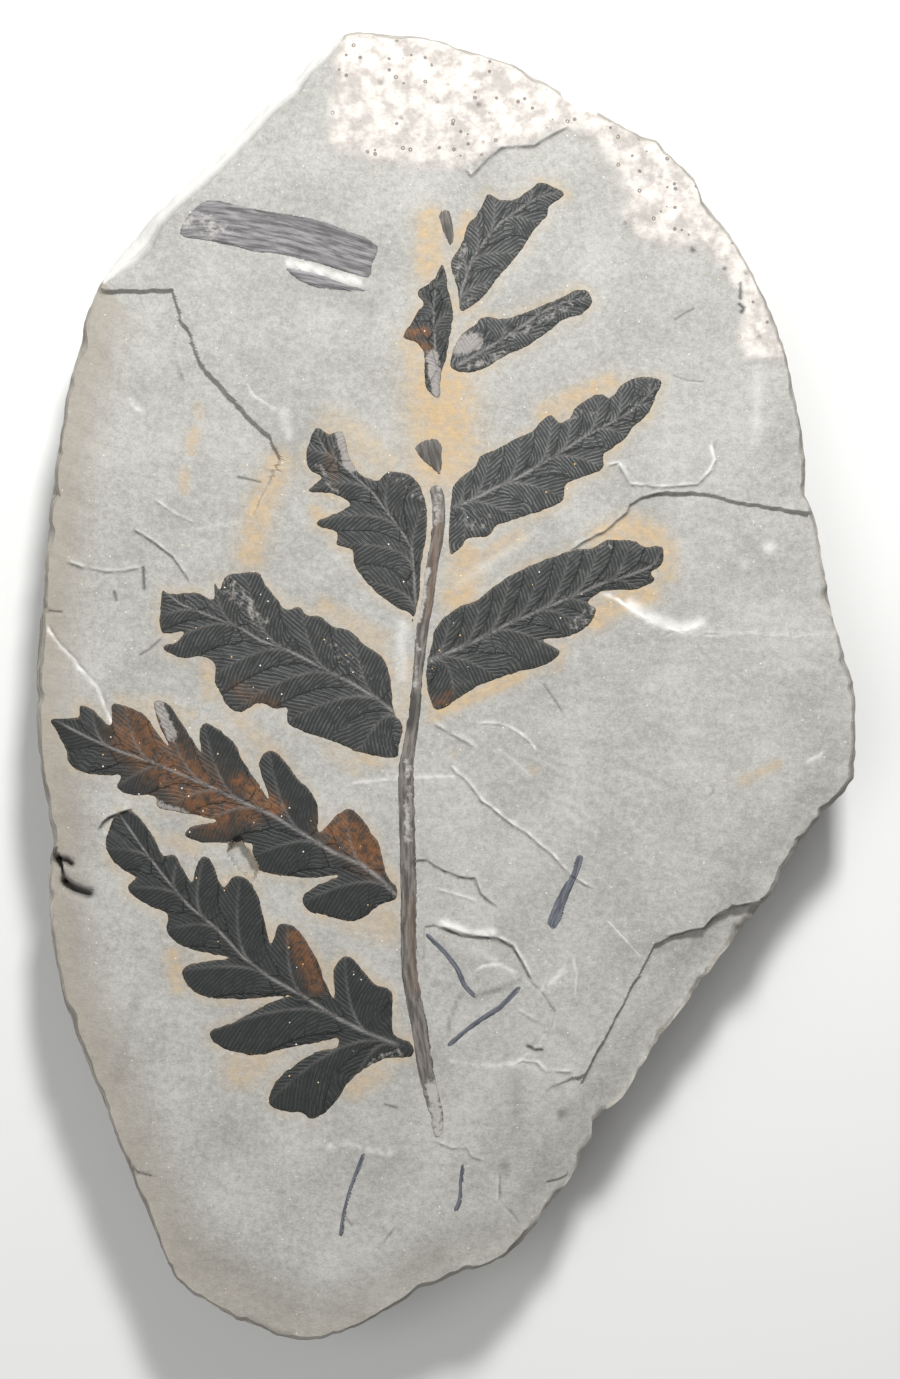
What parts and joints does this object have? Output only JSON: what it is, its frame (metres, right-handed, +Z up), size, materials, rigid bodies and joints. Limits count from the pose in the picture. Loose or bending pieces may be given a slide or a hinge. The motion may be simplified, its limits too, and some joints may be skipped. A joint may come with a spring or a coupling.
{
  "type": "seed fern fossil",
  "caption": "Carbonised seed fern frond, Mariopteris, black against a flat slab of grey shale with broken edges, lying face up.",
  "frame": {"origin": "on the flat underside, below the middle of the slab's outline", "axes": "+Y along the slab towards the top of the frond, +X towards the frond's right, +Z up out of the bedding plane"},
  "size_m": [0.0826, 0.1315, 0.0125],
  "materials": {
    "shale": "matte split shale",
    "leaf_carbon": "black carbon film with a faint sheen",
    "stalk_carbon": "worn grey-brown carbon film",
    "stem_film": "ribbed grey-violet film",
    "scrap_film": "thin blue-grey film"
  },
  "bodies": {
    "root": {"shale_slab": "shale", "stalk": "stalk_carbon", "stalk_tip": "stalk_carbon", "stalk_remnant": "stalk_carbon", "left_pinna_1": "leaf_carbon", "left_pinna_2": "leaf_carbon", "left_pinna_3": "leaf_carbon", "left_pinna_4": "leaf_carbon", "left_pinna_5": "leaf_carbon", "right_pinna_1": "leaf_carbon", "right_pinna_2": "leaf_carbon", "right_pinna_3": "leaf_carbon", "right_pinna_4": "leaf_carbon", "stem_fragment": "stem_film", "stem_sliver": "stem_film", "leaf_strip": "scrap_film", "fork_scrap_left": "scrap_film", "fork_scrap_right": "scrap_film", "needle_long": "scrap_film", "needle_short": "scrap_film"}
  },
  "joints": []
}
